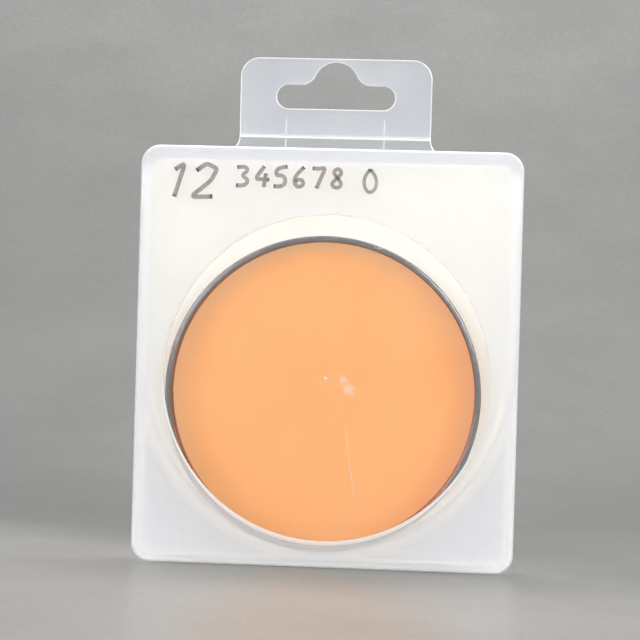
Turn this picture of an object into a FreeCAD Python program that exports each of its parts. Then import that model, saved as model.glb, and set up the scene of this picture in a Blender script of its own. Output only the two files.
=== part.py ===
import FreeCAD, Part
import math
import os

# Colour conversion filter in its hinged storage case, standing on the case's bottom edge.
# +X is right, +Y is away from the viewer and +Z is up. The origin is at the middle of the bottom
# edge, on the plane where the cover meets the tray. All sizes are in millimetres.

# Case, seen from the front
case_width = 99.5
case_height = 109.0
case_corner_r = 5.0
face_edge_r = 1.0

# Case walls
cover_depth = 7.0
outer_wall = 1.3
panel_thickness = 1.2
floor_thickness = 1.3
lip_gap = 0.25
lip_thickness = 1.0
lip_height = 2.4
lip_root_depth = 1.2

# Window in the cover
window_clearance_r = 1.1
window_margin = 6.925
window_thickness = 0.8
window_recess = 0.35
gate_mark_d = 1.3
gate_mark_height = 0.15

# Pocket in the tray: straight sides, and a half round rib below that the filter rests in
pocket_bottom = 3.49
pocket_clearance_r = 7.175
rib_web_width = 24.0

# Filter ring
ring_height = 6.2
ring_wall = 0.7
ring_face_width = 1.525
ring_lip_thickness = 0.9
ring_chamfer = 0.3
face_groove_inset = 0.75
face_groove_width = 0.18
face_groove_depth = 0.12

# Laminated glass
front_glass_thickness = 1.5
colour_layer_thickness = 0.12
rear_glass_thickness = 1.5
edge_seal_thickness = 0.25
same_body_fit = 0.05

# Retaining ring behind the glass
retainer_height = 1.5
spanner_slot_width = 1.2
spanner_slot_depth = 0.8

# How the filter sits in the case
filter_front_gap = 1.2
filter_rest_gap = 0.3
filter_lean_x = -0.85
pad_gap = 0.2

# Foam pad behind the filter
pad_thickness = 3.9
pad_side_clearance = 0.25
pad_top_clearance = 1.4
pad_corner_r = 4.0

# Cover hinge along the left side
hinge_length = 78.0
hinge_leaf_thickness = 0.35
hinge_reach = 0.9

# Thumb notch and catch nubs along the right side
notch_length = 16.0
notch_depth_x = 0.8
notch_depth_y = 2.2
nub_length = 8.0
nub_spacing = 52.0
nub_height = 0.15
nub_width = 0.8
nub_inset = 0.8

# Hang tab and its root
tab_thickness = 0.8
tab_width = 51.2
tab_height = 20.8
tab_corner_r = 5.2
tab_lean_deg = 4.0
crease_groove = 0.45
root_flare_r = 4.1
root_straight = 0.2
root_seat = 1.2
score_spacing = 26.3
score_width = 0.3
score_height = 0.12
score_length_above = 4.8
score_end_gap = 0.2

# Hang slot
slot_width = 31.5
slot_height = 6.35
slot_rise = 7.4
slot_bump_r = 6.0
slot_fillet_r = 4.0

# Places worked out from the sizes above
half_width = case_width / 2
filter_stack = panel_thickness + filter_front_gap + ring_height
case_depth = filter_stack + pad_gap + pad_thickness + floor_thickness
tray_depth = case_depth - cover_depth
front_y = -cover_depth
rear_y = tray_depth
tray_wall = outer_wall + lip_gap + lip_thickness
floor_y = rear_y - floor_thickness
pocket_r = half_width - outer_wall
pocket_z = pocket_bottom + pocket_r
ring_r = pocket_r - pocket_clearance_r
bore_r = ring_r - ring_face_width
window_r = ring_r + window_clearance_r
window_z = window_r + window_margin
filter_front_y = front_y + panel_thickness + filter_front_gap
filter_drop = math.sqrt((pocket_r - ring_r - filter_rest_gap) ** 2 - filter_lean_x ** 2)
filter_z = pocket_z - filter_drop
glass_seat_r = ring_r - ring_wall
crease_z = case_height + root_flare_r + root_straight


def vec(x, y, z):
    return FreeCAD.Vector(x, y, z)


def arc(centre_x, centre_z, radius, start_deg, end_deg, y):
    """Arc in the plane Y = y, with angles from +X towards +Z."""
    points = []
    for angle in (start_deg, (start_deg + end_deg) / 2, end_deg):
        turn = math.radians(angle)
        points.append(vec(centre_x + radius * math.cos(turn), y, centre_z + radius * math.sin(turn)))
    return Part.Arc(*points).toShape()


def line(x_from, z_from, x_to, z_to, y):
    return Part.LineSegment(vec(x_from, y, z_from), vec(x_to, y, z_to)).toShape()


def plate(edges, depth):
    """Closed outline of edges in a plane of constant Y, made into a plate that goes back by depth."""
    face = Part.Face(Part.Wire(Part.__sortEdges__(edges)))
    return face.extrude(vec(0, depth, 0))


def rounded_block(inset, y_from, y_to):
    """Block with the case's rounded outline, drawn in by inset all round."""
    half = half_width - inset
    low = inset
    high = case_height - inset
    radius = case_corner_r - inset
    edges = [
        line(-half + radius, low, half - radius, low, y_from),
        arc(half - radius, low + radius, radius, -90, 0, y_from),
        line(half, low + radius, half, high - radius, y_from),
        arc(half - radius, high - radius, radius, 0, 90, y_from),
        line(half - radius, high, -half + radius, high, y_from),
        arc(-half + radius, high - radius, radius, 90, 180, y_from),
        line(-half, high - radius, -half, low + radius, y_from),
        arc(-half + radius, low + radius, radius, 180, 270, y_from),
    ]
    return plate(edges, y_to - y_from)


def round_outer_edges(block, y_face):
    """Round the edges of a block that lie on the outer face of the case."""
    edges = [edge for edge in block.Edges if all(abs(v.Y - y_face) < 1e-6 for v in edge.Vertexes)]
    return block.makeFillet(face_edge_r, edges)


def disc(radius, y_from, y_to, centre_x, centre_z):
    return Part.makeCylinder(radius, y_to - y_from, vec(centre_x, y_from, centre_z), vec(0, 1, 0))


def box(x_from, x_to, y_from, y_to, z_from, z_to):
    return Part.makeBox(x_to - x_from, y_to - y_from, z_to - z_from, vec(x_from, y_from, z_from))


def turned(profile):
    """Ring turned about the filter's own axis from points of radius and depth behind its front."""
    points = [vec(filter_lean_x + r, filter_front_y + y, filter_z) for r, y in profile]
    face = Part.Face(Part.makePolygon(points + points[:1]))
    return face.revolve(vec(filter_lean_x, 0, filter_z), vec(0, 1, 0), 360)


def front_cover():
    shell = round_outer_edges(rounded_block(0, front_y, 0), front_y)
    shell = shell.cut(rounded_block(outer_wall, front_y + panel_thickness, 1))
    bevel = Part.makeCone(
        window_r + 2 * window_recess, window_r, 2 * window_recess,
        vec(0, front_y - window_recess, window_z), vec(0, 1, 0),
    )
    return shell.cut(bevel).cut(disc(window_r, front_y, front_y + panel_thickness + 1, 0, window_z))


def cover_window():
    face_y = front_y + window_recess
    window = disc(window_r, face_y, face_y + window_thickness, 0, window_z)
    mark = disc(gate_mark_d / 2, face_y - gate_mark_height, face_y + window_thickness / 2, 0, window_z)
    return window.fuse(mark).removeSplitter()


def rear_tray():
    lip_front_y = -lip_height
    shell = round_outer_edges(rounded_block(0, 0, rear_y), rear_y)
    lip = rounded_block(outer_wall + lip_gap, lip_front_y, lip_root_depth)
    shell = shell.fuse(lip).cut(rounded_block(tray_wall, lip_front_y - 1, lip_root_depth))
    shell = shell.cut(rounded_block(outer_wall, lip_root_depth, floor_y))
    shell = shell.fuse(cradle_rib(lip_front_y))
    for side in (-1, 1):
        shell = shell.fuse(catch_nub(case_height / 2 + side * nub_spacing / 2))
    return shell.cut(thumb_notch()).cut(tab_seat()).removeSplitter()


def cradle_rib(front):
    """Half round rib that carries the filter, with a web down to the tray's bottom wall."""
    rib = disc(pocket_r + outer_wall, front, floor_y, 0, pocket_z)
    rib = rib.cut(box(-case_width, case_width, front - 1, rear_y, pocket_z, pocket_z + case_width))
    web_half = rib_web_width / 2
    rib = rib.fuse(box(-web_half, web_half, front, floor_y, outer_wall / 2, pocket_z - pocket_r / 2))
    rib = rib.cut(disc(pocket_r, front - 1, floor_y + 1, 0, pocket_z))
    within = rounded_block(outer_wall + lip_gap, front, 0).fuse(rounded_block(outer_wall / 2, 0, floor_y))
    return rib.common(within)


def catch_nub(centre_z):
    """Low bead on the tray's lip that makes the cover click shut."""
    lip_x = half_width - outer_wall - lip_gap
    y_from = -nub_inset - nub_width
    return box(
        lip_x - lip_thickness / 2, lip_x + nub_height,
        y_from, y_from + nub_width,
        centre_z - nub_length / 2, centre_z + nub_length / 2,
    )


def thumb_notch():
    """Shallow scoop in the tray's right wall, under the cover's edge, for a finger nail."""
    return box(
        half_width - notch_depth_x, half_width + 1,
        0, notch_depth_y,
        (case_height - notch_length) / 2, (case_height + notch_length) / 2,
    )


def tab_seat():
    """Step in the tray's top rear edge where the root of the hang tab grows out of the wall."""
    half = tab_width / 2 + root_flare_r
    return box(-half, half, rear_y - tab_thickness, rear_y + 1, case_height - root_seat, case_height + 1)


def hinge_leaf(y_from):
    """Thin leaf along the left wall, out to the hinge line."""
    return box(
        -half_width - hinge_reach, -half_width,
        y_from, y_from + hinge_leaf_thickness,
        (case_height - hinge_length) / 2, (case_height + hinge_length) / 2,
    )


def foam_pad():
    """Sheet of foam cut to the tray's pocket: a half circle below and straight sides above."""
    radius = pocket_r - pad_side_clearance
    top = case_height - outer_wall - pad_top_clearance
    front = floor_y - pad_thickness
    edges = [
        arc(0, pocket_z, radius, 180, 360, front),
        line(radius, pocket_z, radius, top - pad_corner_r, front),
        arc(radius - pad_corner_r, top - pad_corner_r, pad_corner_r, 0, 90, front),
        line(radius - pad_corner_r, top, -radius + pad_corner_r, top, front),
        arc(-radius + pad_corner_r, top - pad_corner_r, pad_corner_r, 90, 180, front),
        line(-radius, top - pad_corner_r, -radius, pocket_z, front),
    ]
    return plate(edges, pad_thickness)


def filter_ring():
    """Outer mount: a wall round the glass, with a lip in front that the glass seats against."""
    groove_r = ring_r - face_groove_inset
    profile = [
        (bore_r, 0),
        (groove_r - face_groove_width / 2, 0),
        (groove_r, face_groove_depth),
        (groove_r + face_groove_width / 2, 0),
        (ring_r - ring_chamfer, 0),
        (ring_r, ring_chamfer),
        (ring_r, ring_height - ring_chamfer),
        (ring_r - ring_chamfer, ring_height),
        (glass_seat_r, ring_height),
        (glass_seat_r, ring_lip_thickness),
        (bore_r, ring_lip_thickness),
    ]
    return turned(profile)


def layer(y_from, thickness):
    radius = glass_seat_r - same_body_fit - edge_seal_thickness
    y_from = filter_front_y + y_from
    return disc(radius, y_from, y_from + thickness, filter_lean_x, filter_z)


def front_glass():
    return layer(ring_lip_thickness, front_glass_thickness)


def colour_layer():
    return layer(ring_lip_thickness + front_glass_thickness, colour_layer_thickness)


def rear_glass():
    start = ring_lip_thickness + front_glass_thickness + colour_layer_thickness
    return layer(start, rear_glass_thickness)


def glass_stack():
    return front_glass_thickness + colour_layer_thickness + rear_glass_thickness


def edge_seal():
    """Lacquer band round the rim of the laminated glass."""
    outer = glass_seat_r - same_body_fit
    inner = outer - edge_seal_thickness
    start = ring_lip_thickness
    end = start + glass_stack()
    return turned([(inner, start), (outer, start), (outer, end), (inner, end)])


def retaining_ring():
    """Ring behind the glass, with two slots for a spanner in its rear face."""
    start = ring_lip_thickness + glass_stack()
    end = start + retainer_height
    outer = glass_seat_r - same_body_fit
    ring = turned([(bore_r, start), (outer, start), (outer, end), (bore_r, end)])
    slots = box(
        filter_lean_x - ring_r, filter_lean_x + ring_r,
        filter_front_y + end - spanner_slot_depth, filter_front_y + end + 1,
        filter_z - spanner_slot_width / 2, filter_z + spanner_slot_width / 2,
    )
    return ring.cut(slots)


def crease_cut(z_tip, z_far):
    """Wedge that thins the front of the tab towards the crease."""
    front = rear_y - tab_thickness
    points = [
        vec(-case_width, front - 1e-3, z_far),
        vec(-case_width, front - 1e-3, z_tip),
        vec(-case_width, front + crease_groove, z_tip),
    ]
    return Part.Face(Part.makePolygon(points + points[:1])).extrude(vec(2 * case_width, 0, 0))


def score_lines(z_from, z_to):
    """Two fine raised lines across the crease."""
    front = rear_y - tab_thickness
    lines = []
    for side in (-1, 1):
        middle = side * score_spacing / 2
        lines.append(box(
            middle - score_width / 2, middle + score_width / 2,
            front - score_height, front + tab_thickness / 2,
            z_from, z_to,
        ))
    return lines


def tab_root():
    """Strip that rises from the tray's rear wall to the crease, flared where it meets the case."""
    front = rear_y - tab_thickness
    half = tab_width / 2
    base = half + root_flare_r
    flare_z = case_height + root_flare_r
    low = case_height - root_seat
    edges = [
        line(-base, low, base, low, front),
        line(base, low, base, case_height, front),
        arc(base, flare_z, root_flare_r, 270, 180, front),
        line(half, flare_z, half, crease_z, front),
        line(half, crease_z, -half, crease_z, front),
        line(-half, crease_z, -half, flare_z, front),
        arc(-base, flare_z, root_flare_r, 0, -90, front),
        line(-base, case_height, -base, low, front),
    ]
    root = plate(edges, tab_thickness)
    for strip in score_lines(case_height + score_end_gap, crease_z - crease_groove):
        root = root.fuse(strip)
    return root.removeSplitter().cut(crease_cut(crease_z, crease_z - crease_groove))


def slot_outline(y):
    """Slot with round ends and a raised middle, blended by fillets, for a shop hook."""
    end_r = slot_height / 2
    end_x = slot_width / 2 - end_r
    low = crease_z + slot_rise
    high = low + slot_height
    fillet_x = math.sqrt(slot_bump_r ** 2 + 2 * slot_bump_r * slot_fillet_r)
    fillet_z = high + slot_fillet_r
    touch_deg = math.degrees(math.atan2(slot_fillet_r, fillet_x))
    return [
        line(-end_x, low, end_x, low, y),
        arc(end_x, low + end_r, end_r, -90, 90, y),
        line(end_x, high, fillet_x, high, y),
        arc(fillet_x, fillet_z, slot_fillet_r, 270, 180 + touch_deg, y),
        arc(0, high, slot_bump_r, touch_deg, 180 - touch_deg, y),
        arc(-fillet_x, fillet_z, slot_fillet_r, -touch_deg, -90, y),
        line(-fillet_x, high, -end_x, high, y),
        arc(-end_x, low + end_r, end_r, 90, 270, y),
    ]


def hang_tab():
    """Leaf above the crease, with the hang slot."""
    front = rear_y - tab_thickness
    half = tab_width / 2
    top = crease_z + tab_height
    shoulder = top - tab_corner_r
    edges = [
        line(-half, crease_z, half, crease_z, front),
        line(half, crease_z, half, shoulder, front),
        arc(half - tab_corner_r, shoulder, tab_corner_r, 0, 90, front),
        line(half - tab_corner_r, top, -half + tab_corner_r, top, front),
        arc(-half + tab_corner_r, shoulder, tab_corner_r, 90, 180, front),
        line(-half, shoulder, -half, crease_z, front),
    ]
    leaf = plate(edges, tab_thickness)
    for strip in score_lines(crease_z + crease_groove, crease_z + score_length_above):
        leaf = leaf.fuse(strip)
    slot = plate(slot_outline(front - 1), tab_thickness + 2)
    leaf = leaf.removeSplitter().cut(slot).cut(crease_cut(crease_z, crease_z + crease_groove))
    leaf.rotate(vec(0, rear_y, crease_z), vec(1, 0, 0), tab_lean_deg)
    return leaf.cut(box(-half, half, front - 1, rear_y + 1, crease_z - 1, crease_z))


parts = {
    "front_cover": front_cover(),
    "cover_window": cover_window(),
    "cover_hinge_leaf": hinge_leaf(-hinge_leaf_thickness),
    "tray_hinge_leaf": hinge_leaf(0),
    "rear_tray": rear_tray(),
    "foam_pad": foam_pad(),
    "tab_root": tab_root(),
    "hang_tab": hang_tab(),
    "filter_ring": filter_ring(),
    "front_glass": front_glass(),
    "colour_layer": colour_layer(),
    "rear_glass": rear_glass(),
    "edge_seal": edge_seal(),
    "retaining_ring": retaining_ring(),
}

os.makedirs("parts", exist_ok=True)
for name, shape in parts.items():
    shape.exportStep("parts/" + name + ".step")
    bounds = shape.BoundBox
    print(
        f"{name:18s} solids {len(shape.Solids)} valid {shape.isValid()} volume {shape.Volume:9.2f}"
        f" x {bounds.XMin:7.2f} {bounds.XMax:7.2f} y {bounds.YMin:6.2f} {bounds.YMax:6.2f}"
        f" z {bounds.ZMin:7.2f} {bounds.ZMax:7.2f}"
    )
print(f"filter diameter {2 * ring_r:.2f}, window diameter {2 * window_r:.2f}")
print(f"case depth {case_depth:.2f}, crease at {crease_z:.2f}, filter centre at {filter_z:.3f}")
print(f"hinge line x {-half_width - hinge_reach:.2f}, tab fold y {rear_y:.2f}")
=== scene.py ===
import math

import bmesh
import bpy
from mathutils import Matrix, Vector, noise


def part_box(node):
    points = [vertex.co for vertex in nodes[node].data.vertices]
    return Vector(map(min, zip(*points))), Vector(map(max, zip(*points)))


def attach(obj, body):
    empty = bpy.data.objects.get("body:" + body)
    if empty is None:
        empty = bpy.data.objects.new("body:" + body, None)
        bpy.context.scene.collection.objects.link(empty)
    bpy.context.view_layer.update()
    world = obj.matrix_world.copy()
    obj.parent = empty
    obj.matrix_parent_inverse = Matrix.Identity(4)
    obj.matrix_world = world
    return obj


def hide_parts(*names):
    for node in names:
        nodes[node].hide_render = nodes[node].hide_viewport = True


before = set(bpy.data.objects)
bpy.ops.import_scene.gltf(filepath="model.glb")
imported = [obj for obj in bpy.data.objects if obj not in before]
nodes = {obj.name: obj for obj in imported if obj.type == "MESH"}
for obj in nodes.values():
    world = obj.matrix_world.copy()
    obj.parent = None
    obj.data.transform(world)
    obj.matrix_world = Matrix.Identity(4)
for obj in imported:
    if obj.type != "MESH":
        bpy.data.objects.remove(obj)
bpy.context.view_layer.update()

scene = bpy.context.scene


# Node tree shorthand
def newMaterial(name):
    mat = bpy.data.materials.new(name)
    mat.use_nodes = True
    mat.node_tree.nodes.clear()
    return mat, mat.node_tree


def put(tree, socket, value):
    if isinstance(value, bpy.types.NodeSocket):
        tree.links.new(value, socket)
    else:
        socket.default_value = value


def add(tree, kind, inputs=None, **settings):
    made = tree.nodes.new(kind)
    for key, value in settings.items():
        setattr(made, key, value)
    for key, value in (inputs or {}).items():
        put(tree, made.inputs[key], value)
    return made


def maths(tree, operation, *values):
    made = add(tree, "ShaderNodeMath", operation=operation)
    for socket, value in zip(made.inputs, values):
        put(tree, socket, value)
    return made.outputs[0]


def objectPoint(tree):
    return add(tree, "ShaderNodeTexCoord").outputs["Object"]


def axesOf(tree, point):
    return add(tree, "ShaderNodeSeparateXYZ", {0: point}).outputs


def ramp(tree, value, low, high, outLow=0.0, outHigh=1.0):
    return add(tree, "ShaderNodeMapRange", {0: value, 1: low, 2: high, 3: outLow, 4: outHigh},
               interpolation_type="SMOOTHSTEP").outputs[0]  # low may be above high


def grain(tree, point, scale, detail=3.0, rough=0.5, stretch=None):
    if stretch:
        point = add(tree, "ShaderNodeMapping", {"Vector": point, "Scale": stretch}).outputs[0]
    return add(tree, "ShaderNodeTexNoise",
               {"Vector": point, "Scale": scale, "Detail": detail, "Roughness": rough}).outputs["Fac"]


def mixColour(tree, factor, a, b):
    made = add(tree, "ShaderNodeMix", data_type="RGBA")
    for index, value in ((0, factor), (6, a), (7, b)):
        put(tree, made.inputs[index], value)
    return made.outputs[2]


def bump(tree, height, strength, distance):
    made = add(tree, "ShaderNodeBump", {"Height": height, "Strength": strength, "Distance": distance})
    return made.outputs[0]


def principled(tree, **inputs):
    names = {"colour": "Base Color", "roughness": "Roughness", "normal": "Normal", "ior": "IOR",
             "transmission": "Transmission Weight", "metallic": "Metallic", "alpha": "Alpha",
             "coat": "Coat Weight", "coatRoughness": "Coat Roughness", "coatIor": "Coat IOR"}
    named = {names[key]: value for key, value in inputs.items()}
    return add(tree, "ShaderNodeBsdfPrincipled", named).outputs[0]


def distanceXZ(tree, point, centre):
    x, _, z = axesOf(tree, point)
    across = maths(tree, "POWER", maths(tree, "SUBTRACT", x, centre[0]), 2.0)
    up = maths(tree, "POWER", maths(tree, "SUBTRACT", z, centre[1]), 2.0)
    return maths(tree, "SQRT", maths(tree, "ADD", across, up))


def output(tree, surface, lampTint=None):
    if lampTint:  # lamps shine through the piece, tinted, instead of being stopped by it
        rays = add(tree, "ShaderNodeLightPath").outputs["Is Shadow Ray"]
        clear = add(tree, "ShaderNodeBsdfTransparent", {"Color": lampTint}).outputs[0]
        surface = add(tree, "ShaderNodeMixShader", {0: rays, 1: surface, 2: clear}).outputs[0]
    add(tree, "ShaderNodeOutputMaterial", {"Surface": surface})


# Mesh shorthand
def link(name, mesh):
    piece = bpy.data.objects.new(name, mesh)
    scene.collection.objects.link(piece)
    return piece


def pieceFrom(name, bm, mat, smoothDegrees=30):
    bmesh.ops.recalc_face_normals(bm, faces=bm.faces)
    limit = math.radians(smoothDegrees)
    for face in bm.faces:
        face.smooth = True
    for edge in bm.edges:
        edge.smooth = len(edge.link_faces) == 2 and edge.calc_face_angle(0) < limit
    mesh = bpy.data.meshes.new(name)
    bm.to_mesh(mesh)
    bm.free()
    mesh.materials.append(mat)
    return link(name, mesh)


def turned(name, centre, profile, mat, steps=256):
    # profile is (radius, y) points, from the axis and back to it
    bm = bmesh.new()
    rings = []
    for radius, y in profile:
        turns = [2 * math.pi * i / steps for i in range(1 if radius == 0 else steps)]
        rings.append([bm.verts.new((centre[0] + radius * math.cos(turn), y, centre[1] + radius * math.sin(turn)))
                      for turn in turns])
    for a, b in zip(rings, rings[1:]):
        for i in range(steps):
            j = (i + 1) % steps
            corners = [a[i % len(a)], a[j % len(a)], b[j % len(b)], b[i % len(b)]]
            bm.faces.new(list(dict.fromkeys(corners)))
    return pieceFrom(name, bm, mat)


def dress(piece, slot, body, *replaced):
    if replaced:
        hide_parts(*replaced)
    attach(piece, body)


# Camera
camera = {"place": (0.02002, -0.40473, 0.06873), "yaw": 3.146, "pitch": -0.612, "roll": -1.661,
          "lens": 86.5, "sensor": 36.0}
lens = bpy.data.cameras.new("camera")
lens.sensor_width, lens.lens, lens.clip_start = camera["sensor"], camera["lens"], 0.01
eye = bpy.data.objects.new("camera", lens)
eye.matrix_world = Matrix.Translation(camera["place"])
for degrees, axis in ((camera["yaw"], "Z"), (camera["pitch"], "X"), (camera["roll"], "Y"), (90, "X")):
    eye.matrix_world = eye.matrix_world @ Matrix.Rotation(math.radians(degrees), 4, axis)
scene.collection.objects.link(eye)
scene.camera = eye
scene.view_settings.view_transform = "Standard"
print("camera: done")

# Studio: a paper sweep, three softboxes and an even sky
studio = {"halfWidth": 1.2, "front": -1.5, "bendStart": 0.12, "bendRadius": 0.22, "top": 0.9,
          "floorColour": (0.40, 0.393, 0.376, 1), "paintedLightFarColour": (0.80, 0.80, 0.79, 1),
          "shadedWallColour": (0.27, 0.27, 0.263, 1), "topColour": (0.365, 0.365, 0.36, 1),
          "fleckColour": (0.13, 0.13, 0.13, 1), "fleckAmounts": (0.13, 0.16),
          "foot": (-0.012, 0.032), "footSlant": 0.36,  # where the darker wall tone, painted shade, starts on the floor behind the case, and how its edge runs across
          "topBand": (0.10, 0.24), "farBand": (-0.4, -1.0), "roughness": (0.40, 0.75),
          "skyColour": (1.0, 1.0, 1.0, 1), "skyStrength": 0.40}
softboxes = {
    "topSoftbox": {"place": (0.03, 0.14, 0.60), "aim": (0, 0, 0.05), "size": (0.45, 0.11), "power": 2.35,
                   "colour": (1, 1, 1)},
    "rightKey": {"place": (0.55, -0.5, 0.42), "aim": (0, 0, 0.06), "size": (0.35, 0.45), "power": 3.15,
                 "colour": (1, 0.99, 0.97)},
    "leftFill": {"place": (-0.6, -0.62, 0.35), "aim": (0, 0, 0.06), "size": (0.5, 0.5), "power": 2.97,
                 "colour": (1, 0.995, 0.985)},
}


def sweepPaper():
    mat, tree = newMaterial("sweep_paper")
    point = objectPoint(tree)
    x, y, z = axesOf(tree, point)
    depth = maths(tree, "ADD", y, maths(tree, "MULTIPLY", x, studio["footSlant"]))
    fibre = grain(tree, point, 700.0, 5.0, 0.65)
    mottle = grain(tree, point, 26.0, 5.0, 0.6, (0.6, 1.0, 1.3))
    # painted shade: the wall is darker low down than at its top
    wall = mixColour(tree, ramp(tree, z, *studio["topBand"]), studio["shadedWallColour"], studio["topColour"])
    # painted light: the floor grows lighter far in front, where the lamps' light falls off
    floor = mixColour(tree, ramp(tree, y, *studio["farBand"]), studio["floorColour"], studio["paintedLightFarColour"])
    # painted shade: the floor behind the case takes the darker wall tone, along a slanted edge
    upright = ramp(tree, depth, *studio["foot"])
    colour = mixColour(tree, upright, floor, wall)
    mottled, fibrous = studio["fleckAmounts"]
    colour = mixColour(tree, ramp(tree, mottle, 0.35, 0.65, 0.0, mottled), colour, studio["fleckColour"])
    colour = mixColour(tree, ramp(tree, fibre, 0.3, 0.7, 0.0, fibrous), colour, studio["fleckColour"])
    paper = principled(tree, colour=colour, roughness=ramp(tree, upright, 0.0, 1.0, *studio["roughness"]),
                       normal=bump(tree, fibre, 0.1, 0.0002))
    # clear from its back, so that the object shows from behind too
    back = add(tree, "ShaderNodeNewGeometry").outputs["Backfacing"]
    clear = add(tree, "ShaderNodeBsdfTransparent", {"Color": (1, 1, 1, 1)}).outputs[0]
    output(tree, add(tree, "ShaderNodeMixShader", {0: back, 1: paper, 2: clear}).outputs[0])
    return mat


def backdropSweep():
    start, radius = studio["bendStart"], studio["bendRadius"]
    line = [(studio["front"], 0.0)]
    for i in range(33):
        turn = math.pi / 2 * i / 32
        line.append((start + radius * math.sin(turn), radius - radius * math.cos(turn)))
    line.append((start + radius, studio["top"]))
    bm = bmesh.new()
    rows = [[bm.verts.new((side * studio["halfWidth"], y, z)) for y, z in line] for side in (-1, 1)]
    for i in range(len(line) - 1):
        bm.faces.new((rows[0][i], rows[1][i], rows[1][i + 1], rows[0][i + 1]))
    return pieceFrom("backdrop", bm, sweepPaper())


backdrop = backdropSweep()
if backdrop.data.polygons[0].normal.z < 0:
    backdrop.data.flip_normals()
for name, facts in softboxes.items():
    light = bpy.data.lights.new(name, "AREA")
    light.shape = "RECTANGLE"
    light.size, light.size_y = facts["size"]
    light.energy, light.color = facts["power"], facts["colour"]
    lamp = bpy.data.objects.new(name, light)
    lamp.location = facts["place"]
    lamp.rotation_euler = (Vector(facts["aim"]) - lamp.location).to_track_quat("-Z", "Y").to_euler()
    scene.collection.objects.link(lamp)
world = bpy.data.worlds.new("sky")
world.use_nodes = True
sky = world.node_tree.nodes["Background"].inputs
sky[0].default_value, sky[1].default_value = studio["skyColour"], studio["skyStrength"]
scene.world = world
print("studio: done")

# Milky polypropylene case: cover, tray and the hinge leaves
case = {"colour": (0.892, 0.895, 0.892, 1), "paleColour": (0.912, 0.914, 0.91, 1),
        "markAndHighlightColour": (0.99, 0.988, 0.98, 1), "lipHighlightColour": (0.99, 0.92, 0.885, 1),
        "topColour": (0.85, 0.86, 0.88, 1), "rimLightColour": (0.935, 0.938, 0.948, 1),
        "ribLightColour": (0.97, 0.962, 0.96, 1), "hollowLightColour": (0.905, 0.912, 0.937, 1),
        "lampTint": (0.95, 0.95, 0.95, 1), "transmission": 0.64, "edgeTransmission": 0.1, "ior": 1.2,
        "roughness": (0.205, 0.26), "grainHeight": 0.0002, "edgeCoatRoughness": 0.16, "edgeCoatIor": 1.7,
        "corner": 0.005, "edgeLine": 0.0006, "rim": 0.0029, "topRim": 0.0038, "rib": (0.0462, 0.0499),
        "lip": 0.04262, "lipGrowth": 0.0006, "lipLow": (0.026, 0.008), "outerFace": (0.0058, 0.0064),
        "ejector": {"place": (-0.03986, 0.00596), "radius": 0.0027, "half": 0.0002}}
low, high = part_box("front_cover")
caseMiddle = ((low[0] + high[0]) / 2, (low[2] + high[2]) / 2)
caseHalf = ((high[0] - low[0]) / 2, (high[2] - low[2]) / 2)
low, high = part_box("foam_pad")
pocketCentre = (0.0, low[2] + high[0])
low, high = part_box("cover_window")
windowCentre = ((low[0] + high[0]) / 2, (low[2] + high[2]) / 2)


def edgeDistance(tree, point):  # how far a point lies inside the case's round cornered outline
    x, _, z = axesOf(tree, point)
    corner = case["corner"]
    over = []
    for value, middle, half in ((x, caseMiddle[0], caseHalf[0]), (z, caseMiddle[1], caseHalf[1])):
        away = maths(tree, "ABSOLUTE", maths(tree, "SUBTRACT", value, middle))
        over.append(maths(tree, "SUBTRACT", away, half - corner))
    squares = [maths(tree, "POWER", maths(tree, "MAXIMUM", value, 0.0), 2.0) for value in over]
    around = maths(tree, "SQRT", maths(tree, "ADD", *squares))
    flat = maths(tree, "MINIMUM", maths(tree, "MAXIMUM", *over), 0.0)
    return maths(tree, "SUBTRACT", maths(tree, "SUBTRACT", corner, around), flat)


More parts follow.
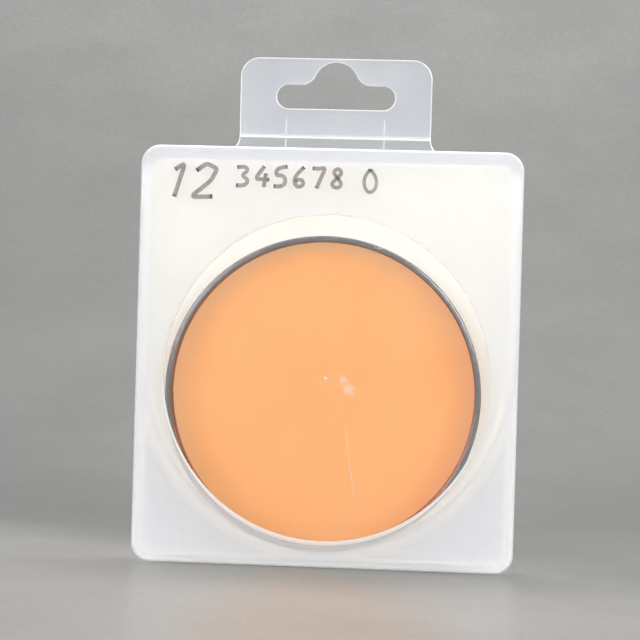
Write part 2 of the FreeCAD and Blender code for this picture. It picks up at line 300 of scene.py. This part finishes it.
def milkyPlastic():
    mat, tree = newMaterial("milky_polypropylene")
    point = objectPoint(tree)
    _, y, z = axesOf(tree, point)
    cloud = grain(tree, point, 60.0, 4.0)
    flow = grain(tree, point, 25.0, 3.0, 0.5, (1.0, 1.0, 0.25))
    inward = edgeDistance(tree, point)
    # zones: the pocket's rib, the hollow corners beyond it, the rim, and the window's lip; the rib, hollows and rim
    # are painted lighter and tinted for how the walls and hollows behind the milky panel catch and pass light, and
    # the lip carries a painted highlight
    fromPocket, middleZ = distanceXZ(tree, point, pocketCentre), pocketCentre[1]
    ribIn, ribOut = case["rib"]
    lower = ramp(tree, z, middleZ - 0.012, middleZ + 0.002, 1.0, 0.0)
    hollow = maths(tree, "MULTIPLY", ramp(tree, fromPocket, ribOut, ribOut + 0.002), lower)
    rib = maths(tree, "MULTIPLY", ramp(tree, fromPocket, ribIn - 0.0012, ribIn),
                ramp(tree, fromPocket, ribOut, ribOut + 0.001, 1.0, 0.0))
    rib = maths(tree, "MULTIPLY", rib, lower)
    rimWidth = ramp(tree, z, caseHalf[1] * 1.8, caseHalf[1] * 1.9, case["rim"], case["topRim"])
    rim = ramp(tree, maths(tree, "SUBTRACT", inward, rimWidth), -0.0005, 0.0006, 1.0, 0.0)
    top = maths(tree, "MULTIPLY", rim, ramp(tree, z, caseHalf[1] * 1.85, caseHalf[1] * 1.93))
    # painted highlight along the lower lip of the window, widening and pink tinted towards its bottom
    deep = ramp(tree, z, *case["lipLow"])
    lip = maths(tree, "SUBTRACT", distanceXZ(tree, point, windowCentre),
                maths(tree, "MULTIPLY", deep, case["lipGrowth"]))
    lip = ramp(tree, lip, case["lip"], case["lip"] + 0.0002, 1.0, 0.0)
    lip = maths(tree, "MULTIPLY", lip, ramp(tree, z, windowCentre[1] - 0.012, windowCentre[1] + 0.008, 1.0, 0.0))
    # painted highlight: a near white line along the case's outline
    edge = ramp(tree, inward, case["edgeLine"] * 0.7, case["edgeLine"] * 1.3, 1.0, 0.0)
    line = maths(tree, "MULTIPLY", maths(tree, "MAXIMUM", lip, edge),
                 ramp(tree, maths(tree, "ABSOLUTE", y), *case["outerFace"]))
    # a real ejector mark, drawn in the same near white as the painted highlight
    mark = case["ejector"]
    ejector = maths(tree, "SUBTRACT", distanceXZ(tree, point, mark["place"]), mark["radius"])
    ejector = ramp(tree, maths(tree, "ABSOLUTE", ejector), 0.0, mark["half"], 0.6, 0.0)
    ejector = maths(tree, "MULTIPLY", ejector, maths(tree, "LESS_THAN", y, 0.0))
    colour = mixColour(tree, ramp(tree, cloud, 0.3, 0.7), case["colour"], case["paleColour"])
    for zone, key in ((hollow, "hollowLightColour"), (rib, "ribLightColour"), (rim, "rimLightColour"), (top, "topColour"),
                      (ejector, "markAndHighlightColour"), (line, "markAndHighlightColour"),
                      (maths(tree, "MULTIPLY", lip, deep), "lipHighlightColour")):
        colour = mixColour(tree, zone, colour, case[key])
    surface = principled(
        tree, colour=colour, roughness=ramp(tree, flow, 0.3, 0.7, *case["roughness"]), ior=case["ior"],
        transmission=ramp(tree, line, 0.0, 1.0, case["transmission"], case["edgeTransmission"]),
        coat=line, coatRoughness=case["edgeCoatRoughness"], coatIor=case["edgeCoatIor"],
        normal=bump(tree, grain(tree, point, 900.0, 3.0), 0.12, case["grainHeight"]))
    output(tree, surface, case["lampTint"])
    return mat


milky = milkyPlastic()
for name in ("front_cover", "rear_tray", "cover_hinge_leaf", "tray_hinge_leaf"):
    for materialSlot in nodes[name].material_slots:
        materialSlot.material = milky
print("case: done")

# Frosted hang tab and its root, as bevelled copies whose cut edges and score lines carry a painted highlight
tab = {"colour": (0.755, 0.775, 0.815, 1), "paleColour": (0.785, 0.80, 0.835, 1),
       "shadedRootColour": (0.63, 0.64, 0.65, 1),
       "creaseColour": (0.97, 0.97, 0.97, 1), "markAndHighlightColour": (0.99, 0.99, 0.985, 1),
       "cloudedEdge": (0.90, 0.905, 0.92, 1), "lampTint": (0.88, 0.89, 0.91, 1), "roughness": (0.38, 0.46),
       "ior": 1.25, "transmission": 0.62, "edgeTransmission": 0.05, "edgeCoatRoughness": 0.2,
       "edgeCoatIor": 1.7, "creaseZ": 0.1133, "creaseHalf": 0.0005, "creaseReach": 0.0006,
       "scoreX": 0.01315, "scoreReach": 0.0004, "bevel": 0.00028, "sharpDegrees": 50}


def frostedPlastic(name, isEdge):
    mat, tree = newMaterial(name)
    point = objectPoint(tree)
    cloud = grain(tree, point, 80.0, 4.0)
    if isEdge:
        # painted highlight: near white cut edges and score lines
        colour = mixColour(tree, ramp(tree, cloud, 0.3, 0.7), tab["markAndHighlightColour"], tab["cloudedEdge"])
    else:
        z = axesOf(tree, point)[2]
        away = maths(tree, "ABSOLUTE", maths(tree, "SUBTRACT", z, tab["creaseZ"]))
        colour = mixColour(tree, ramp(tree, cloud, 0.3, 0.7), tab["colour"], tab["paleColour"])
        # painted shade: the root below the crease is darker
        below = ramp(tree, z, tab["creaseZ"] - tab["creaseReach"], tab["creaseZ"], 1.0, 0.0)
        colour = mixColour(tree, below, colour, tab["shadedRootColour"])
        crease = ramp(tree, away, tab["creaseHalf"] * 0.7, tab["creaseHalf"] * 1.3, 1.0, 0.0)
        colour = mixColour(tree, crease, colour, tab["creaseColour"])
    surface = principled(
        tree, colour=colour, roughness=ramp(tree, cloud, 0.3, 0.7, *tab["roughness"]), ior=tab["ior"],
        transmission=tab["edgeTransmission"] if isEdge else tab["transmission"], coat=1.0 if isEdge else 0.0,
        coatRoughness=tab["edgeCoatRoughness"], coatIor=tab["edgeCoatIor"],
        normal=bump(tree, grain(tree, point, 1100.0, 3.0), 0.15, 0.0002))
    output(tree, surface, tab["lampTint"])
    return mat


def bevelledCopy(name, node, mats, width):
    bm = bmesh.new()
    bm.from_mesh(nodes[node].data)
    bmesh.ops.remove_doubles(bm, verts=bm.verts, dist=1e-6)
    bmesh.ops.dissolve_limit(bm, angle_limit=math.radians(1), verts=bm.verts, edges=bm.edges)
    for face in bm.faces:
        face.material_index, face.smooth = 0, False

    def inScore(item):
        return all(abs(abs(corner.co.x) - tab["scoreX"]) < tab["scoreReach"] for corner in item.verts)

    def isOutline(edge):  # leaves the crease and the score lines sharp
        crease = all(abs(corner.co.z - tab["creaseZ"]) < tab["creaseReach"] for corner in edge.verts)
        return not (crease or inScore(edge)) and edge.calc_face_angle(0) > math.radians(tab["sharpDegrees"])

    outline = [edge for edge in bm.edges if isOutline(edge)]
    bmesh.ops.bevel(bm, geom=outline, offset=width, segments=2, profile=0.5, affect="EDGES", material=1,
                    clamp_overlap=False)
    for face in bm.faces:
        if inScore(face):
            face.material_index = 1
    mesh = bpy.data.meshes.new(name)
    bm.to_mesh(mesh)
    bm.free()
    for mat in mats:
        mesh.materials.append(mat)
    return link(name, mesh)


tabMaterials = [frostedPlastic("frosted_tab", False), frostedPlastic("frosted_tab_highlight_edge", True)]
for pieceName, node, body in (("hangTab", "hang_tab", "tab"), ("tabRoot", "tab_root", "tray")):
    dress(bevelledCopy(pieceName, node, tabMaterials, tab["bevel"]), "frosted_tab", body, node)
print("tab: done")

# Dark anodised ring and retaining ring, with turning marks about the filter's own axis
filterRing = {"colour": (0.245, 0.243, 0.265, 1), "wornColour": (0.52, 0.51, 0.52, 1),
              "boreOrangeReflection": (0.26, 0.12, 0.075, 1), "metallic": 0.8, "roughness": (0.24, 0.4),
              "grooves": 0.00022, "grooveDepth": 0.00001, "bore": 0.03995, "crown": 0.0403, "curve": 330.0,
              "lacquer": ((0.012, 0.012, 0.014, 1), (0.035, 0.034, 0.036, 1))}
low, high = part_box("filter_ring")
filterCentre = ((low[0] + high[0]) / 2, (low[2] + high[2]) / 2)


def anodised():
    mat, tree = newMaterial("dark_anodised_ring")
    point = objectPoint(tree)
    radius = distanceXZ(tree, point, filterCentre)
    turning = maths(tree, "SINE", maths(tree, "MULTIPLY", radius, 2 * math.pi / filterRing["grooves"]))
    worn = ramp(tree, grain(tree, point, 220.0, 6.0, 0.7), 0.58, 0.72)
    colour = mixColour(tree, maths(tree, "MULTIPLY", worn, 0.6), filterRing["colour"], filterRing["wornColour"])
    colour = mixColour(tree, ramp(tree, turning, -1.0, 1.0, 0.0, 0.18), colour, filterRing["wornColour"])
    # painted reflection: a maroon tint of the orange glass on the ring's bore edge
    bore = ramp(tree, radius, filterRing["bore"], filterRing["bore"] + 0.0002, 1.0, 0.0)
    colour = mixColour(tree, bore, colour, filterRing["boreOrangeReflection"])
    fromCrown = maths(tree, "ABSOLUTE", maths(tree, "SUBTRACT", radius, filterRing["crown"]))
    fall = maths(tree, "MULTIPLY", maths(tree, "POWER", fromCrown, 2.0), filterRing["curve"])
    height = maths(tree, "SUBTRACT", maths(tree, "MULTIPLY", turning, filterRing["grooveDepth"]), fall)
    output(tree, principled(tree, colour=colour, metallic=filterRing["metallic"],
                            roughness=ramp(tree, worn, 0.0, 1.0, *filterRing["roughness"]),
                            normal=bump(tree, height, 1.0, 1.0)))
    return mat


def blackLacquer():
    mat, tree = newMaterial("edge_lacquer")
    patch = grain(tree, objectPoint(tree), 400.0, 4.0)
    colour = mixColour(tree, ramp(tree, patch, 0.35, 0.65), *filterRing["lacquer"])
    output(tree, principled(tree, colour=colour, roughness=ramp(tree, patch, 0.3, 0.7, 0.45, 0.65),
                            normal=bump(tree, patch, 0.2, 0.0001)))
    return mat


def plainCopy(name, node, mat):
    bm = bmesh.new()
    bm.from_mesh(nodes[node].data)
    bmesh.ops.remove_doubles(bm, verts=bm.verts, dist=1e-6)
    return pieceFrom(name, bm, mat)


ringMetal = anodised()
for pieceName, node, slot, mat in (("filterRing", "filter_ring", "dark_anodised_ring", ringMetal),
                                   ("retainingRing", "retaining_ring", "dark_anodised_ring", ringMetal),
                                   ("edgeSeal", "edge_seal", "edge_lacquer", blackLacquer())):
    piece = plainCopy(pieceName, node, mat)
    piece.visible_shadow = False  # the case is lit through the clear panes, past the ring
    dress(piece, slot, "filter", node)
print("ring: done")

# Glass, colour layer, glass
laminate = {"tint": (1.0, 0.812, 0.622, 1), "paleTint": (1.0, 0.822, 0.638, 1),
            "shadedSideTint": (1.0, 0.775, 0.598, 1), "sideCentre": (-0.006, 0.047), "sideBand": (0.037, 0.046),
            "shrink": 0.00001, "gap": 0.000006, "haze": 0.003, "dust": 0.02, "frontIor": 1.3, "rearIor": 1.12,
            "glassEdge": 0.00012, "layerEdge": 0.00002}
windowPane = {"haze": 0.02, "dust": 0.05, "ior": 1.25, "shrink": 0.000015, "edge": 0.00008,
              "thickness": 0.0008, "outerFace": -0.0063, "gateRadius": 0.0005, "gateHeight": 0.00012,
              "smudges": (((0.0046, 0.0492), 0.0018), ((0.0062, 0.0466), 0.0024)), "gateGlow": 0.0008,
              "scratch": {"top": (0.00542, 0.0375), "bottom": (0.0086, 0.0160), "half": 0.00014},
              "streak": {"centre": 0.0006, "half": 0.0022, "low": 0.044, "high": 0.084},
              "markColour": (0.88, 0.88, 0.88, 1), "lampTint": (0.995, 0.995, 0.995, 1)}


def windowMarks(tree, point):  # gate glow, smudges, a broken scratch and a faint streak
    x, y, z = axesOf(tree, point)
    scratch, streak, glow = windowPane["scratch"], windowPane["streak"], windowPane["gateGlow"]
    patchy = ramp(tree, grain(tree, point, 1500.0, 4.0, 0.7), 0.35, 0.6, 0.4, 1.0)
    drawn = ramp(tree, distanceXZ(tree, point, windowCentre), glow * 0.4, glow, 0.6, 0.0)
    for centre, size in windowPane["smudges"]:
        blot = ramp(tree, distanceXZ(tree, point, centre), size * 0.15, size, 0.48, 0.0)
        drawn = maths(tree, "ADD", drawn, maths(tree, "MULTIPLY", blot, patchy))
    (topX, topZ), (bottomX, bottomZ) = scratch["top"], scratch["bottom"]
    slope = (bottomX - topX) / (bottomZ - topZ)
    lineX = maths(tree, "MULTIPLY_ADD", maths(tree, "SUBTRACT", z, topZ), slope, topX)
    off = maths(tree, "ABSOLUTE", maths(tree, "SUBTRACT", x, lineX))
    cut = ramp(tree, off, scratch["half"] * 0.3, scratch["half"], 0.5, 0.0)
    ends = maths(tree, "MULTIPLY", maths(tree, "LESS_THAN", z, topZ), maths(tree, "GREATER_THAN", z, bottomZ))
    broken = ramp(tree, grain(tree, point, 200.0, 2.0), 0.3, 0.55, 0.3, 1.0)
    drawn = maths(tree, "ADD", drawn, maths(tree, "MULTIPLY", maths(tree, "MULTIPLY", cut, ends), broken))
    band = ramp(tree, maths(tree, "ABSOLUTE", maths(tree, "SUBTRACT", x, streak["centre"])),
                0.0, streak["half"], 0.02, 0.0)
    fade = maths(tree, "MULTIPLY", ramp(tree, z, streak["low"], streak["low"] + 0.012),
                 ramp(tree, z, streak["high"], streak["high"] + 0.004, 1.0, 0.0))
    drawn = maths(tree, "ADD", drawn, maths(tree, "MULTIPLY", band, fade))
    return maths(tree, "MULTIPLY", drawn, maths(tree, "LESS_THAN", y, windowPane["outerFace"]))


def clearPlate(name, haze, dustAmount, ior, marks=False, hidden=False):
    mat, tree = newMaterial(name)
    point = objectPoint(tree)
    dust = ramp(tree, grain(tree, point, 1400.0, 2.0, 0.6), 0.66, 0.78, 0.0, dustAmount)
    smear = ramp(tree, grain(tree, point, 40.0, 5.0, 0.6, (1.0, 1.0, 0.35)), 0.45, 0.8, haze, haze * 2)
    veil = maths(tree, "ADD", smear, dust)
    if marks:
        veil = maths(tree, "ADD", veil, windowMarks(tree, point))
    if hidden:  # behind the colour layer, where bent light would only darken it
        clear = add(tree, "ShaderNodeBsdfTransparent", {"Color": (1, 1, 1, 1)}).outputs[0]
        shine = add(tree, "ShaderNodeBsdfGlossy", {"Roughness": 0.03}).outputs[0]
        edge = add(tree, "ShaderNodeFresnel", {"IOR": ior}).outputs[0]
        clear = add(tree, "ShaderNodeMixShader", {0: edge, 1: clear, 2: shine}).outputs[0]
    else:
        clear = principled(tree, colour=(1, 1, 1, 1), roughness=0.0, ior=ior, transmission=1.0)
    white = add(tree, "ShaderNodeBsdfDiffuse", {"Color": windowPane["markColour"]}).outputs[0]
    surface = add(tree, "ShaderNodeMixShader", {0: veil, 1: clear, 2: white}).outputs[0]
    output(tree, surface, windowPane["lampTint"])
    return mat


def orangeLayer():
    mat, tree = newMaterial("orange_layer")
    point = objectPoint(tree)
    cloud = ramp(tree, grain(tree, point, 30.0, 2.0), 0.3, 0.7)
    tint = mixColour(tree, cloud, laminate["tint"], laminate["paleTint"])
    # painted shade: the film is redder towards its right edge, where the ring shades the foam behind it
    fromSide = distanceXZ(tree, point, laminate["sideCentre"])
    side = maths(tree, "MULTIPLY", ramp(tree, fromSide, *laminate["sideBand"]),
                 ramp(tree, axesOf(tree, point)[0], 0.0, 0.02))
    tint = mixColour(tree, side, tint, laminate["shadedSideTint"])
    output(tree, add(tree, "ShaderNodeBsdfTransparent", {"Color": tint}).outputs[0])
    return mat


frontPane = clearPlate("front_glass", laminate["haze"], laminate["dust"], laminate["frontIor"])
rearPane = clearPlate("rear_glass", laminate["haze"], laminate["dust"], laminate["rearIor"], hidden=True)
layers = (("frontGlass", "front_glass", "clear_glass", laminate["glassEdge"], frontPane),
          ("orangeFilm", "colour_layer", "orange_layer", laminate["layerEdge"], orangeLayer()),
          ("rearGlass", "rear_glass", "clear_glass", laminate["glassEdge"], rearPane))
for pieceName, node, slot, edge, mat in layers:
    low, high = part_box(node)
    radius = (high[0] - low[0]) / 2 - laminate["shrink"]
    front, rear = low[1] + laminate["gap"], high[1] - laminate["gap"]
    profile = [(0, front), (radius * 0.5, front), (radius - edge, front), (radius, front + edge),
               (radius, rear - edge), (radius - edge, rear), (radius * 0.5, rear), (0, rear)]
    plate = turned(pieceName, filterCentre, profile, mat)
    plate.visible_shadow = node == "colour_layer"
    dress(plate, slot, "filter", node)

# Window in the cover, with its gate mark
low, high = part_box("cover_window")
radius = (high[0] - low[0]) / 2 - windowPane["shrink"]
front, rear, edge = high[1] - windowPane["thickness"], high[1], windowPane["edge"]
gate, nub = windowPane["gateRadius"], windowPane["gateHeight"]
profile = [(0, front - nub), (gate * 0.6, front - nub), (gate, front), (radius * 0.5, front),
           (radius - edge, front), (radius, front + edge), (radius, rear - edge), (radius - edge, rear),
           (radius * 0.5, rear), (0, rear)]
window = turned("windowPane", windowCentre, profile,
                clearPlate("clear_window", windowPane["haze"], windowPane["dust"], windowPane["ior"], True))
window.data.materials.append(milky)
for face in window.data.polygons:
    fromMiddle = math.hypot(face.center.x - windowCentre[0], face.center.z - windowCentre[1])
    if abs(face.normal.y) < 0.9 and fromMiddle > radius * 0.9:
        face.material_index = 1  # the pane's rim is milky, like the frame that it is moulded with
window.visible_shadow = False
dress(window, "clear_window", "cover", "cover_window")
print("glass: done")

# Foam pad behind the filter: straight sides, a half round bottom and soft cut edges
pad = {"cornerRadius": 0.004, "edgeRadius": 0.0009, "wave": 0.00012, "step": 0.0011, "middleZ": 0.055,
       "insets": (0.0, 0.00012, 0.0003, 0.0006, 0.0009, 0.0014, 0.0022, 0.0035, 0.0055, 0.008, 0.012, 0.017,
                  0.023, 0.030, 0.038),
       "colour": (0.945, 0.915, 0.86, 1), "paleColour": (0.96, 0.935, 0.89, 1),
       "pitShadeColour": (0.84, 0.81, 0.75, 1), "shadedOuterColour": (0.865, 0.835, 0.775, 1),
       "filterEdge": (0.0405, 0.0415), "cells": 1600.0, "roughness": 0.85}


def whiteFoam():
    mat, tree = newMaterial("white_foam")
    point = objectPoint(tree)
    cells = add(tree, "ShaderNodeTexVoronoi", {"Vector": point, "Scale": pad["cells"]}, feature="SMOOTH_F1")
    cells = cells.outputs["Distance"]
    # the foam's cream tint is partly painted warm light bounced from the orange
    colour = mixColour(tree, ramp(tree, grain(tree, point, 35.0), 0.35, 0.65), pad["colour"], pad["paleColour"])
    # painted shade in the foam's cell pits
    colour = mixColour(tree, ramp(tree, cells, 0.1, 0.7, 0.10, 0.0), colour, pad["pitShadeColour"])
    # painted shade: the foam is darker and creamier outside the filter's edge
    beyond = ramp(tree, distanceXZ(tree, point, filterCentre), *pad["filterEdge"])
    colour = mixColour(tree, beyond, colour, pad["shadedOuterColour"])
    output(tree, principled(tree, colour=colour, roughness=pad["roughness"],
                            normal=bump(tree, cells, 0.05, 0.0002)))
    return mat


def padOutline(half, bottomZ, top):
    corner, step = pad["cornerRadius"], pad["step"]
    straight = top - corner - bottomZ
    points = [(half * math.cos(math.pi + step * i / half), bottomZ + half * math.sin(math.pi + step * i / half))
              for i in range(int(math.pi * half / step))]
    rows = int(straight / step)
    points += [(half, bottomZ + straight * i / rows) for i in range(rows)]
    turns = [math.pi / 2 * i / 8 for i in range(9)]
    points += [(half - corner + corner * math.cos(t), top - corner + corner * math.sin(t)) for t in turns]
    across = int(2 * (half - corner) / step)
    points += [(half - corner - 2 * (half - corner) * i / across, top) for i in range(1, across)]
    points += [(corner - half - corner * math.sin(t), top - corner + corner * math.cos(t)) for t in turns]
    points += [(-half, top - corner - straight * i / rows) for i in range(1, rows)]
    return points


def foamPad():
    low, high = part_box("foam_pad")
    half = high[0]
    outline = padOutline(half, low[2] + half, high[2])
    middleZ, radius, count = pad["middleZ"], pad["edgeRadius"], len(outline)
    bm = bmesh.new()
    sides = []
    for y, inward in ((low[1], 1), (high[1], -1)):
        rings = []
        for inset in pad["insets"]:
            ring = []
            for x, z in outline:
                keep = max(0.02, 1 - inset / math.hypot(x, z - middleZ))
                px, pz = x * keep, middleZ + (z - middleZ) * keep
                drop = radius - math.sqrt(radius ** 2 - max(0.0, radius - inset) ** 2)
                dent = pad["wave"] * (0.5 + 0.5 * noise.noise(Vector((px * 60, pz * 60, inward * 3.0))))
                ring.append(bm.verts.new((px, y + inward * (drop + dent), pz)))
            rings.append(ring)
        hub = bm.verts.new((0, y + inward * pad["wave"] * 0.5, middleZ))
        for a, b in zip(rings, rings[1:]):
            for i in range(count):
                bm.faces.new((a[i], a[(i + 1) % count], b[(i + 1) % count], b[i]))
        for i in range(count):
            bm.faces.new((rings[-1][i], rings[-1][(i + 1) % count], hub))
        sides.append(rings[0])
    a, b = sides
    for i in range(count):
        bm.faces.new((a[i], a[(i + 1) % count], b[(i + 1) % count], b[i]))
    return pieceFrom("foamPad", bm, whiteFoam(), 80)


foam = foamPad()
dress(foam, "white_foam", "tray", "foam_pad")
print("foam: done")

# Plain digits in marker pen: strokes are (x, y) points in a cell one unit high
digits = {
    "0": [[(0.3, 1), (0.03, 0.7), (0.08, 0.2), (0.32, 0), (0.58, 0.25), (0.55, 0.75), (0.3, 1)]],
    "1": [[(0.2, 0.8), (0.45, 1), (0.36, 0)]],
    "2": [[(0, 0.78), (0.25, 1), (0.6, 0.85), (0.5, 0.5), (0, 0), (0.65, 0.03)]],
    "3": [[(0, 0.92), (0.35, 1), (0.56, 0.78), (0.22, 0.54), (0.6, 0.32), (0.42, 0.02), (0, 0.06)]],
    "4": [[(0.4, 1), (0, 0.38), (0.68, 0.36)], [(0.5, 0.66), (0.44, 0)]],
    "5": [[(0.6, 1), (0.12, 0.97), (0.06, 0.56), (0.42, 0.6), (0.6, 0.3), (0.38, 0.01), (0, 0.06)]],
    "6": [[(0.5, 1), (0.14, 0.66), (0.05, 0.25), (0.3, 0), (0.56, 0.2), (0.38, 0.46), (0.1, 0.33)]],
    "7": [[(0, 0.96), (0.3, 0.94), (0.62, 1), (0.25, 0)]],
    "8": [[(0.32, 0.52), (0.06, 0.77), (0.3, 1), (0.54, 0.8), (0.32, 0.52), (0.02, 0.22), (0.3, 0),
           (0.6, 0.22), (0.32, 0.52)]],
}
# a row is text, left, base, digit height, pitch, slant and half the pen's width
marker = {"rows": (("12", -0.0430, 0.0955, 0.0088, 0.0074, 0.35, 0.00058),
                   ("345678", -0.0246, 0.0985, 0.0054, 0.0049, 0.08, 0.00052),
                   ("0", 0.0082, 0.0975, 0.0062, 0.005, 0.0, 0.00045)),
          "angular": "1247", "front": -0.007012, "thickness": 0.02, "step": 0.0003, "outline": 0.75,
          "alpha": (0.48, 0.85), "colour": (0.09, 0.08, 0.08, 1), "paleColour": (0.42, 0.37, 0.36, 1)}


def markerInk():
    mat, tree = newMaterial("marker_ink")
    point = objectPoint(tree)
    along, around = [add(tree, "ShaderNodeAttribute", attribute_name=name).outputs["Fac"]
                     for name in ("along", "around")]
    ends = ramp(tree, maths(tree, "ABSOLUTE", maths(tree, "SUBTRACT", along, 0.5)), 0.42, 0.5)
    side = maths(tree, "ABSOLUTE", maths(tree, "SINE", maths(tree, "MULTIPLY", around, 2 * math.pi)))
    patchy = ramp(tree, grain(tree, point, 900.0, 4.0, 0.7), 0.4, 0.65)
    dark = maths(tree, "MAXIMUM", ends, maths(tree, "MULTIPLY", patchy, 0.35))
    dark = maths(tree, "MAXIMUM", dark, ramp(tree, side, marker["outline"], 1.0, 0.0, 0.45))
    colour = mixColour(tree, dark, marker["paleColour"], marker["colour"])
    output(tree, principled(tree, colour=colour, roughness=0.5, alpha=ramp(tree, dark, 0.0, 1.0, *marker["alpha"])))
    return mat


def strokeTree(ink):
    tree = bpy.data.node_groups.new("markerStroke", "GeometryNodeTree")
    face = tree.interface
    face.new_socket("Geometry", in_out="INPUT", socket_type="NodeSocketGeometry")
    sizes = {name: face.new_socket(name, in_out="INPUT", socket_type="NodeSocketFloat")
             for name in ("Flatness", "Step")}
    face.new_socket("Geometry", in_out="OUTPUT", socket_type="NodeSocketGeometry")
    given, result = tree.nodes.new("NodeGroupInput"), tree.nodes.new("NodeGroupOutput")
    even = add(tree, "GeometryNodeResampleCurve",
               {"Curve": given.outputs["Geometry"], "Length": given.outputs["Step"]}, mode="LENGTH")
    place = add(tree, "GeometryNodeSplineParameter")
    named = add(tree, "GeometryNodeStoreNamedAttribute",
                {"Geometry": even.outputs[0], "Name": "along", "Value": place.outputs["Factor"]},
                data_type="FLOAT", domain="POINT")
    radius = add(tree, "GeometryNodeInputRadius")
    circle = add(tree, "GeometryNodeCurvePrimitiveCircle", {"Resolution": 16, "Radius": 1.0}, mode="RADIUS")
    turn = add(tree, "GeometryNodeSplineParameter")
    circle = add(tree, "GeometryNodeStoreNamedAttribute",
                 {"Geometry": circle.outputs[0], "Name": "around", "Value": turn.outputs["Factor"]},
                 data_type="FLOAT", domain="POINT")
    swept = add(tree, "GeometryNodeCurveToMesh",
                {"Curve": named.outputs[0], "Profile Curve": circle.outputs[0], "Fill Caps": True})
    if "Scale" in swept.inputs:
        tree.links.new(radius.outputs[0], swept.inputs["Scale"])
    flat = add(tree, "ShaderNodeCombineXYZ", {0: 1.0, 1: given.outputs["Flatness"], 2: 1.0})
    pressed = add(tree, "GeometryNodeTransform", {"Geometry": swept.outputs[0], "Scale": flat.outputs[0]})
    real = add(tree, "GeometryNodeRealizeInstances", {0: pressed.outputs[0]})
    inked = add(tree, "GeometryNodeSetMaterial", {"Geometry": real.outputs[0], "Material": ink})
    tree.links.new(inked.outputs[0], result.inputs[0])
    return tree, {name: socket.identifier for name, socket in sizes.items()}


def markerDigits():
    curve = bpy.data.curves.new("markerDigits", "CURVE")
    curve.dimensions = "3D"
    for text, left, base, height, pitch, slant, half in marker["rows"]:
        for column, sign in enumerate(text):
            for stroke in digits[sign]:
                spline = curve.splines.new("NURBS")
                dense = [stroke[0]]
                for a, b in zip(stroke, stroke[1:]):
                    middle = ((a[0] + b[0]) / 2, (a[1] + b[1]) / 2)
                    dense += [middle, b] if sign in marker["angular"] else [b]
                spline.points.add(len(dense) - 1)
                for target, (x, y) in zip(spline.points, dense):
                    across = left + column * pitch + (x + slant * (y - 0.5) * 0.6) * height
                    target.co = (across, 0, base + y * height, 1)
                    target.radius = half
                spline.order_u = 3
                spline.use_endpoint_u = True
    source = link("markerDigits", curve)
    tree, sockets = strokeTree(markerInk())
    maker = source.modifiers.new("strokes", "NODES")
    maker.node_group = tree
    maker[sockets["Flatness"]] = marker["thickness"]
    maker[sockets["Step"]] = marker["step"]
    mesh = bpy.data.meshes.new_from_object(source.evaluated_get(bpy.context.evaluated_depsgraph_get()))
    bpy.data.objects.remove(source)
    mesh.transform(Matrix.Translation((0, marker["front"], 0)))
    return link("markerDigits", mesh)


dress(markerDigits(), "milky_polypropylene", "cover")
print("digits: done")
